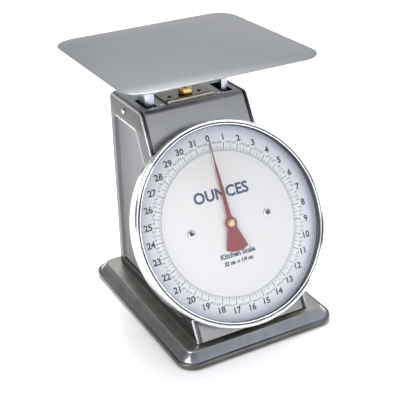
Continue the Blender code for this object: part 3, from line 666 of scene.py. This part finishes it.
half = HALF_TOP - FLANGE - 0.3 * MM
BEND_R, BEND_STEPS = 7 * MM, 10
SINK_BACK, SINK_DOWN = 0.55, 0.65       # how a rolled edge leaves the sheet, for each mm of its roll
bend = fillet([(COLUMN_REAR - 1.5 * MM, COLUMN_TOP), (COLUMN_FRONT_TOP, COLUMN_TOP),
               (COLUMN_FRONT_BOTTOM + TAN_TILT * MM, COLUMN_BOTTOM + MM)], [0, BEND_R, 0], BEND_STEPS)
path = [bend[0]] + bend[BEND_STEPS + 1:2 * BEND_STEPS + 2] + [bend[-1]]
bm = bmesh.new()
rolled = 1.2 * MM
rows = [[bm.verts.new((x, y + SINK_BACK * sunk, z - SINK_DOWN * sunk)) for y, z in path]
        for x, sunk in ((-half, MM), (rolled - half, 0), (half - rolled, 0), (half, MM))]
# The two rolled edge strips get the painted highlight finish.
for strip, (near, far) in enumerate(zip(rows, rows[1:])):
    for i in range(len(path) - 1):
        bm.faces.new((near[i], far[i], far[i + 1], near[i + 1])).material_index = (1, 0, 1)[strip]
bent = bpy.data.meshes.new("bent_front_and_top")
bm.to_mesh(bent)
bm.free()
if bent.polygons[0].normal.z < 0:
    bent.flip_normals()
front = piece("bent_front_and_top", smooth(flare(bent), 25), FRONT_STEEL, "housing", ["front_cover"])
front.data.materials.append(HIGHLIGHT_STEEL)
thicken(front, SHEET)
SLOT_INNER, SLOT_OUTER, SLOT_FRONT, SLOT_REAR, SLOT_CORNER = [
    size * MM for size in (39.5, 53.0, 14.5, 46.0, 1.5)]
for sign in (-1, 1):
    x_low, x_high = sorted((sign * SLOT_INNER, sign * SLOT_OUTER))
    slot_outline = fillet(rectangle(x_low, x_high, SLOT_FRONT, SLOT_REAR), [SLOT_CORNER] * 4, 4)
    cut(front, plate("slot", [slot_outline], COLUMN_TOP - 6 * MM, COLUMN_TOP + 6 * MM))
nut_x, nut_y = middle_of("zero_nut").xy
SCREW_HOLE_R, SHAFT_HOLE_R = 3.2 * MM, 8 * MM
screw_hole = [(0, 6 * MM), (SCREW_HOLE_R, 6 * MM), (SCREW_HOLE_R, -6 * MM), (0, -6 * MM)]
cut(front, turned("hole", screw_hole, 32), Matrix.Translation((nut_x, nut_y, COLUMN_TOP)))
shaft_hole = [(0, 0), (SHAFT_HOLE_R, 0), (SHAFT_HOLE_R, -12 * MM), (0, -12 * MM)]
cut(front, turned("hole", shaft_hole, 32), DIAL)
smooth(front.data, 25)
print("front sheet", len(front.data.polygons), "faces after cutting")

# %% [markdown]
# ## The dial head
# A drawn can sits against the sloping front. The bezel is a brass ring, rolled over the lens and
# plated: seen from the front it shows a round outer roll, a fine groove and a thin inner bead. The
# groove's faces get the black rubber finish as painted shade in the groove. All these are turned
# shapes in the dial's own frame, where height 0 is the face of the dial.

# %% Can, gasket and lens
REAR, CAN_FRONT, CAN_R, CAN_ROUND = -6.1 * MM, 8.5 * MM, 107.9 * MM, 1.2 * MM
can_profile = [(CAN_R, CAN_FRONT), (CAN_R, REAR + CAN_ROUND)]
can_profile += arc((CAN_R - CAN_ROUND, REAR + CAN_ROUND), CAN_ROUND, 0, -90, 4)
can_profile += [(SHAFT_HOLE_R, REAR), (SHAFT_HOLE_R, REAR + SHEET),
                (CAN_R - SHEET, REAR + SHEET), (CAN_R - SHEET, CAN_FRONT)]
piece("drawn_can", turned("drawn_can", can_profile, 144, True), CAN_STEEL, "housing", ["dial_can"], DIAL)
LENS_R, LENS_TOP, LENS_UNDER = 107.3 * MM, 10.3 * MM, 8.8 * MM
lens_profile = [(0, LENS_TOP), (LENS_R, LENS_TOP), (LENS_R, LENS_UNDER), (0, LENS_UNDER)]
piece("clear_lens", turned("clear_lens", lens_profile, 144), LENS, "housing", ["lens"], DIAL)
GASKET_R, GASKET_HOLE_R, GASKET_UNDER = 106.5 * MM, 104.0 * MM, 6.7 * MM
gasket_profile = [(GASKET_R, CAN_FRONT), (GASKET_R, GASKET_UNDER),
                  (GASKET_HOLE_R, GASKET_UNDER), (GASKET_HOLE_R, CAN_FRONT)]
piece("rubber_gasket", turned("rubber_gasket", gasket_profile, 144, True), RUBBER, "housing",
      ["lens_gasket"], DIAL)

# %% Bezel
BEZEL_R, WINDOW_R, FRONT = 111.0 * MM, 104.6 * MM, 12.2 * MM
GROOVE, UNDERSIDE = 10.75 * MM, 10.45 * MM
BEAD_R, ROLL_R = 0.85 * MM, 2.05 * MM
inner_bead = arc((WINDOW_R + BEAD_R, GROOVE), BEAD_R, 180, 0, 10)
outer_roll = arc((BEZEL_R - ROLL_R, FRONT - ROLL_R), ROLL_R, 163, 0, 16)
groove = [(outer_roll[0][0] - 0.02 * MM, GROOVE)]
bezel_back = [(BEZEL_R, REAR + 0.6 * MM), (BEZEL_R - 0.2 * MM, REAR + 0.15 * MM),
              (BEZEL_R - 0.6 * MM, REAR), (BEZEL_R - 1.2 * MM, REAR + 0.2 * MM),
              (BEZEL_R - 1.3 * MM, 7.5 * MM), (CAN_R + 0.8 * MM, UNDERSIDE),
              (WINDOW_R + 0.3 * MM, UNDERSIDE)]
bezel_profile = inner_bead + groove + outer_roll + bezel_back
bezel = piece("rolled_bezel", turned("rolled_bezel", bezel_profile, 192, True), CHROME, "housing",
              ["bezel"], DIAL)
# The groove's faces are painted black: painted shade.
bezel.data.materials.append(RUBBER)
for face in bezel.data.polygons:
    in_groove = GROOVE - 0.1 * MM < face.center.z < FRONT - 0.3 * MM
    if in_groove and inner_bead[-1][0] < face.center.xy.length < outer_roll[2][0]:
        face.material_index = 1

# %% [markdown]
# ## The dial and its printing
# The dial is a thin enamelled disc. Ink on it is a real, very thin layer here, so ticks, numbers and
# words are flat solids 0.03 mm thick, held a hair above the enamel so that the surfaces don't mix.
# One turn is 32 ounces, and each ounce has eighth, quarter and half marks of growing length. A thin
# ring joins the inner ends of the marks.

# %% Dial disc
DIAL_SCREW_X = middle_of("dial_screw_right").x
DISC_R, DISC_THICKNESS = 106.0 * MM, 0.8 * MM
holes = [circle(3.0 * MM, 32)] + [circle(2.1 * MM, 24, (sign * DIAL_SCREW_X, 0)) for sign in (-1, 1)]
disc_mesh = plate("enamelled_dial", [circle(DISC_R, 144)] + holes, -DISC_THICKNESS, 0)
piece("enamelled_dial", disc_mesh, ENAMEL, "housing", ["dial_plate"], DIAL)

# %% Ink helpers
INK_LOW, INK_HIGH = 0.02 * MM, 0.05 * MM
OUNCES = 32
CAPITAL_HEIGHT = 0.72       # the height of a capital letter in the built-in type, for a size of 1


def on_dial(radius, ounces):
    """The point of the dial at a radius and a reading, clockwise from the top."""
    angle = 2 * math.pi * ounces / OUNCES
    return radius * math.sin(angle), radius * math.cos(angle)


def ink_bars(bm, radius_in, radius_out, width, readings):
    """Adds one flat bar for each reading, pointing to the dial's centre."""
    for ounces in readings:
        angle = -2 * math.pi * ounces / OUNCES
        size = Matrix.Diagonal((width, radius_out - radius_in, INK_HIGH - INK_LOW, 1))
        middle = Matrix.Translation((0, (radius_in + radius_out) / 2, (INK_LOW + INK_HIGH) / 2))
        bmesh.ops.create_cube(bm, size=1.0, matrix=Matrix.Rotation(angle, 4, "Z") @ middle @ size)


def ink_words(bm, text, size, x, y, shear=0.0, bold=0.0):
    """Adds text centred on a point of the dial; size is the height of a capital letter."""
    curve = bpy.data.curves.new("ink", "FONT")
    curve.body = text
    curve.size = size / CAPITAL_HEIGHT
    curve.align_x = "CENTER"
    curve.align_y = "CENTER"
    curve.resolution_u = 3
    curve.shear = shear
    curve.offset = bold
    curve.extrude = (INK_HIGH - INK_LOW) / 2
    bm.from_mesh(curve_mesh("ink", curve, Matrix.Translation((x, y, (INK_LOW + INK_HIGH) / 2))))


def finish_ink(name, bm, material):
    mesh = bpy.data.meshes.new(name)
    bm.to_mesh(mesh)
    bm.free()
    piece(name, mesh, material, "housing", place=DIAL)


# %% Scale marks
TICK_IN, HALF_LINE = 78.2 * MM, 0.15 * MM
bm = bmesh.new()
ink_bars(bm, TICK_IN, 87.0 * MM, 0.70 * MM, range(OUNCES))
ink_bars(bm, TICK_IN, 84.0 * MM, 0.50 * MM, [i + 0.5 for i in range(OUNCES)])
ink_bars(bm, TICK_IN, 82.4 * MM, 0.45 * MM, [i + q for i in range(OUNCES) for q in (0.25, 0.75)])
ink_bars(bm, TICK_IN, 81.0 * MM, 0.35 * MM, [i + e / 8 for i in range(OUNCES) for e in (1, 3, 5, 7)])
finish_ink("scale_marks", bm, BLACK_INK)
ring = [(TICK_IN + HALF_LINE, INK_HIGH), (TICK_IN + HALF_LINE, INK_LOW),
        (TICK_IN - HALF_LINE, INK_LOW), (TICK_IN - HALF_LINE, INK_HIGH)]
piece("scale_ring", turned("scale_ring", ring, 192, True), BLACK_INK, "housing", place=DIAL)

# %% Numbers
NUMBER_R, FRACTION_R = 92.8 * MM, 87.2 * MM
bm = bmesh.new()
for ounce in range(OUNCES):
    ink_words(bm, str(ounce), 6.8 * MM, *on_dial(NUMBER_R, ounce), bold=0.30 * MM)
finish_ink("ounce_numbers", bm, BLACK_INK)
bm = bmesh.new()
for ounce in range(OUNCES):
    for part, text in ((0.25, "1/4"), (0.5, "1/2"), (0.75, "3/4")):
        ink_words(bm, text, 2.5 * MM, *on_dial(FRACTION_R, ounce + part), bold=0.05 * MM)
finish_ink("fraction_labels", bm, GREY_INK)

# %% [markdown]
# ## Words on the dial
# Only the unit, the kind of scale and its capacity are printed, in plain type, where a maker would
# put a name.

# %% Generic words
bm = bmesh.new()
ink_words(bm, "OUNCES", 12.0 * MM, -1 * MM, 33 * MM, bold=0.55 * MM)
ink_words(bm, "Kitchen Scale", 5.6 * MM, 0, -33.0 * MM, bold=0.30 * MM)
finish_ink("unit_words", bm, NAVY_INK)
bm = bmesh.new()
ink_words(bm, "32 oz. x 1/4 oz.", 4.1 * MM, -1 * MM, -41.0 * MM, shear=0.2, bold=0.30 * MM)
finish_ink("capacity_words", bm, BLACK_INK)

# %% [markdown]
# ## Screws and washers
# Screws are turned shapes with a cross or slot cut in the head. A slot is a real cut: it gives the
# small dark line that tells the eye how big the head is.


# %% Screw helper
SLOT_TURN = 0.6             # a screw is left wherever it is tight, so its slot is never square


def screw_mesh(name, head, height, shank, length, slots, slot_width):
    """A domed screw along Z with its seat at 0; slots is 1 for a straight slot and 2 for a cross."""
    profile = [(0, height)] + [(head * math.sin(a), height * (0.3 + 0.7 * math.cos(a)))
                               for a in (math.radians(15 * i) for i in range(1, 7))]
    profile += [(head, 0), (shank, 0), (shank, -length), (0, -length)]
    thing = bpy.data.objects.new(name, turned(name, profile, 40))
    bpy.context.scene.collection.objects.link(thing)
    for i in range(slots):
        reach = head * (1.4 if slots == 1 else 0.75)
        slot = plate("slot", [rectangle(-reach, reach, -slot_width / 2, slot_width / 2)],
                     height * 0.45, height * 2)
        cut(thing, slot, Matrix.Rotation(math.pi / 2 * i + SLOT_TURN, 4, "Z"))
    mesh = thing.data
    bpy.data.objects.remove(thing, do_unlink=True)
    return smooth(mesh)


# %% Dial screws
dial_screw = screw_mesh("dial_screw", 2.7 * MM, 1.6 * MM, 1.5 * MM, 4.0 * MM, 2, 0.8 * MM)
WASHER_R, WASHER_TOP_R, WASHER_HOLE_R, WASHER_THICKNESS = 4.7 * MM, 3.9 * MM, 2.1 * MM, 0.4 * MM
washer = [(WASHER_R, 0.08 * MM), (WASHER_TOP_R, WASHER_THICKNESS), (WASHER_HOLE_R, WASHER_THICKNESS),
          (WASHER_HOLE_R, 0), (WASHER_R, 0)]
for side, sign in (("left", -1), ("right", 1)):
    seat = DIAL @ Matrix.Translation((sign * DIAL_SCREW_X, 0, 0.7 * MM))
    piece(f"dial_screw_{side}_detail", dial_screw.copy(), DARK_STEEL, "housing", [f"dial_screw_{side}"], seat)
    under = DIAL @ Matrix.Translation((sign * DIAL_SCREW_X, 0, 0.3 * MM))
    piece(f"dial_washer_{side}_detail", turned("washer", washer, 48, True), CHROME, "housing",
          [f"dial_washer_{side}"], under)

# %% Rivets beside the top plate
rivet = screw_mesh("top_rivet", 2.1 * MM, 1.5 * MM, 1.0 * MM, 0.1 * MM, 2, 0.7 * MM)
for number in (1, 2):
    low, high = box_of(f"top_rivet_{number}")
    piece(f"top_rivet_{number}_detail", rivet.copy(), CHROME, "housing", [f"top_rivet_{number}"],
          Matrix.Translation(((low.x + high.x) / 2, (low.y + high.y) / 2, low.z + 0.1 * MM)))

# %% [markdown]
# ## The pointer
# It is stamped from thin sheet: a needle that widens in a step, a round hub, and a fan tail that
# balances it. The needle's thin end is a darker red than the rest, and a slotted brass screw holds
# the hub. The outline is one half drawn in millimetres, and its mirror image.

# %% Pointer
hub, low, high = 7.0 * MM, 2.6 * MM, 3.4 * MM
step_at, tip_at, step_half, tip_half = 66.1 * MM, 92 * MM, 0.55 * MM, 0.38 * MM
blade = [(2.62, 6.5), (1.2, 61), (0.55, 66)]
tail = [(-13.0, -27.3), (-6.7, -29.9), (0.0, -30.8)]
right = [(x * MM, y * MM) for x, y in blade]
left = [(-x, y) for x, y in reversed(right)]
flank = arc((0, 0), hub, 112, 222, 10)
fan = [(x * MM, y * MM) for x, y in tail]
outline = right + left + flank + fan + [(-x, y) for x, y in reversed(fan[:-1])]
outline += [(-x, y) for x, y in reversed(flank)]
piece("red_pointer", plate("red_pointer", [outline, circle(1.3 * MM, 24)], low, high, 0.12 * MM),
      RED_LACQUER, "pointer", ["pointer"], DIAL)
needle = [(step_half, step_at), (tip_half, tip_at), (-tip_half, tip_at), (-step_half, step_at)]
piece("pointer_needle", plate("pointer_needle", [needle], low, high), DARK_LACQUER, "pointer", place=DIAL)
cap = screw_mesh("pointer_cap", 4.1 * MM, 2.1 * MM, 1.3 * MM, 0.1 * MM, 1, 1.1 * MM)
piece("pointer_cap", cap, PALE_BRASS, "pointer", ["pointer_screw"],
      DIAL @ Matrix.Translation((0, 0, 3.8 * MM)))

# %% [markdown]
# ## The top fittings
# The brass nut sets zero: it is a hexagon with rounded corners and edges on a dark washer, and the
# chamfered end of its screw comes up through it.

# %% Zero nut
low, high = box_of("zero_nut")
NUT_CORNER_R, NUT_CHAMFER, NUT_HOLE_R = 8.6 * MM, 0.5 * MM, 2.6 * MM
hexagon = fillet(circle(NUT_CORNER_R, 6), [NUT_CHAMFER] * 6, 3)
nut_mesh = plate("brass_hex_nut", [hexagon, circle(NUT_HOLE_R, 32)], 0, high.z - low.z, NUT_CHAMFER)
piece("brass_hex_nut", nut_mesh, BRASS, "zero_nut", ["zero_nut"],
      Matrix.Translation((nut_x, nut_y, low.z)))
low, high = box_of("zero_screw")
STUD_R, STUD_CHAMFER = 2.0 * MM, 0.4 * MM
stud = [(0, high.z), (STUD_R - STUD_CHAMFER, high.z), (STUD_R, high.z - STUD_CHAMFER),
        (STUD_R, low.z), (0, low.z)]
piece("slotted_stud", turned("slotted_stud", stud, 32), DARK_STEEL, "spring_hanger", ["zero_screw"],
      Matrix.Translation((nut_x, nut_y, 0)))

# %% [markdown]
# ## Springs
# Two extension springs hang inside and stretch as the platform goes down. Each is a wire swept along
# a helix over the height of its frame node; the mesh is built once and does not stretch.
# The hanger above them drops a little when zero is set, and the top coil leaves room for that.


# %% Springs
def coil(name, centre, bottom, top, radius, wire, turns, per_turn=20):
    """A helical wire as a mesh, from bottom to top."""
    curve = bpy.data.curves.new(name, "CURVE")
    curve.dimensions = "3D"
    curve.bevel_depth = wire / 2
    curve.bevel_resolution = 2
    curve.use_fill_caps = True
    spline = curve.splines.new("POLY")
    spline.points.add(turns * per_turn)
    for i, point in enumerate(spline.points):
        angle = 2 * math.pi * i / per_turn
        height = bottom + wire / 2 + (top - bottom - wire) * i / (turns * per_turn)
        point.co = (centre[0] + radius * math.cos(angle), centre[1] + radius * math.sin(angle), height, 1)
    return curve_mesh(name, curve)


WIRE, ROOM_TO_DROP = 1.4 * MM, 1.15 * MM
for side in ("left", "right"):
    low, high = box_of(f"spring_{side}")
    middle = (low + high) / 2
    mesh = coil(f"coil_{side}", middle, low.z, high.z - ROOM_TO_DROP, (high.x - low.x - WIRE) / 2,
                WIRE, 18)
    spring = bpy.data.objects.new(f"extension_spring_{side}", mesh)
    bpy.context.scene.collection.objects.link(spring)
    mesh.materials.append(DARK_STEEL)
    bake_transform(spring)
    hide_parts(f"spring_{side}")
    print(spring.name, len(mesh.polygons), "faces")

# %% [markdown]
# ## Finishes for the plain pieces
# The rest of the frame's nodes already have their true shape. Each gets the finish of what it is
# made of and a slightly broken edge, which no real part is without.

# %% Dress the frame's own nodes
DRESS = {
    ZINC: ["post_left", "post_right", "platform_bracket", "carriage_bar", "rack_arm", "upper_link",
           "lower_link", "upper_link_front_pin", "lower_link_front_pin", "upper_link_rear_pin",
           "lower_link_rear_pin",
           "chassis_cheek_left", "chassis_cheek_right", "chassis_tie", "movement_bracket", "dial_pillar_left",
           "dial_pillar_right", "side_screw_left", "side_screw_right", "rear_screw_1", "rear_screw_2",
           "rear_screw_3", "rear_screw_4", "spring_hanger", "pinion_shaft"],
    SIDE_STEEL: ["rear_cover"],
    PAD_STEEL: ["top_pad"],
    RUBBER: ["foot_front_left", "foot_front_right", "foot_rear_left", "foot_rear_right"],
    BRASS: ["bush_front", "bush_rear", "rack"],
    DARK_STEEL: ["zero_washer", "overload_stop", "pad_screw_1", "pad_screw_2"],
}
BROKEN_EDGE = 0.15 * MM
for material, names in DRESS.items():
    for name in names:
        thing = NODES[name]
        for slot in thing.material_slots:
            slot.material = material
        if thing.data.shape_keys is None:
            round_edges(thing, BROKEN_EDGE, 1, 50)
print("dressed", sum(len(names) for names in DRESS.values()), "nodes")

# %% [markdown]
# ## Floor, light and camera
# A pale floor, a large soft light high up behind on the right, and weaker ones from above, in front
# and the left. Metal shows what is around it, so these wide panels give it something to mirror.

# %% Floor
bpy.ops.mesh.primitive_plane_add(size=12, location=(0, 0, 0))
floor = bpy.context.object
floor.name = "studio_floor"
floor_paint, _ = new_material("matt_white_floor", "F8F8F8", 0.0, 0.9)
floor.data.materials.append(floor_paint)


# %% Lights
def area_light(name, place, target, size, power, colour="FFFFFF"):
    light = bpy.data.lights.new(name, "AREA")
    light.shape = "RECTANGLE"
    light.size, light.size_y = size
    light.energy = power
    light.color = linear(colour)[:3]
    lamp = bpy.data.objects.new(name, light)
    bpy.context.scene.collection.objects.link(lamp)
    lamp.location = place
    lamp.rotation_euler = (Vector(target) - Vector(place)).to_track_quat("-Z", "Y").to_euler()


area_light("key_softbox", (0.3, 0.7, 1.85), (0, 0, 0.1), (0.9, 0.9), 50)
area_light("overhead_softbox", (-0.9, -0.2, 1.6), (0, 0, 0.05), (0.8, 0.8), 12)
area_light("front_fill", (0.6, -1.8, 0.85), (0, 0, 0.15), (1.0, 0.6), 9, "F8FAFF")
area_light("side_strip", (-1.5, -0.6, 0.35), (0, 0, 0.15), (0.6, 0.8), 9)

# %% [markdown]
# ## The room
# Polished steel shows the room, so the room needs a shape: a bright band along the horizon, a bright
# ceiling towards one side and a dim one towards the other. The dim side gives metal its dark planes.

# %% Room
BRIGHT_SIDE = Vector((0.48, 0.25, 0.84)).normalized()
HORIZON = "F4F5F7"
CEILING = ((0.0, "7D7B77"), (0.15, "88867F"), (0.5, "ADAEAF"),
           (0.65, "CCCFD3"), (0.9, "E8EEF8"), (1.0, "EEF3FB"))
world = bpy.data.worlds.new("grey_studio")
bpy.context.scene.world = world
world.use_nodes = True
direction = node(world, "ShaderNodeTexCoord").outputs["Generated"]
facing = node(world, "ShaderNodeVectorMath", {"operation": "DOT_PRODUCT", 1: BRIGHT_SIDE},
              {0: direction})
ceiling = node(world, "ShaderNodeValToRGB", links={"Fac": facing.outputs["Value"]})
while len(ceiling.color_ramp.elements) < len(CEILING):
    ceiling.color_ramp.elements.new(0.5)
for element, (position, colour) in zip(ceiling.color_ramp.elements, CEILING):
    element.position = position
    element.color = linear(colour)
height = node(world, "ShaderNodeSeparateXYZ", links={"Vector": direction})
band = node(world, "ShaderNodeMapRange", {"From Min": 0.10, "From Max": 0.28, "To Min": 1.0, "To Max": 0.0},
            {"Value": height.outputs["Z"]})
room = node(world, "ShaderNodeMix", {"data_type": "RGBA"}, {0: band.outputs["Result"]})
world.node_tree.links.new(ceiling.outputs["Color"], room.inputs[6])
room.inputs[7].default_value = linear(HORIZON)
background = world.node_tree.nodes["Background"]
world.node_tree.links.new(room.outputs[2], background.inputs["Color"])
background.inputs["Strength"].default_value = 1.0
bpy.context.scene.view_settings.view_transform = "Standard"

# %% Camera
camera_data = bpy.data.cameras.new("camera")
camera_data.lens = 83.12
camera_data.sensor_width = 36
TURNS_IN_DEGREES = (63.30, 2.24, -28.22)
camera = bpy.data.objects.new("camera", camera_data)
bpy.context.scene.collection.objects.link(camera)
camera.location = (-0.4219, -0.8212, 0.5847)
camera.rotation_euler = [math.radians(angle) for angle in TURNS_IN_DEGREES]
bpy.context.scene.camera = camera
print("camera at", camera.location[:])
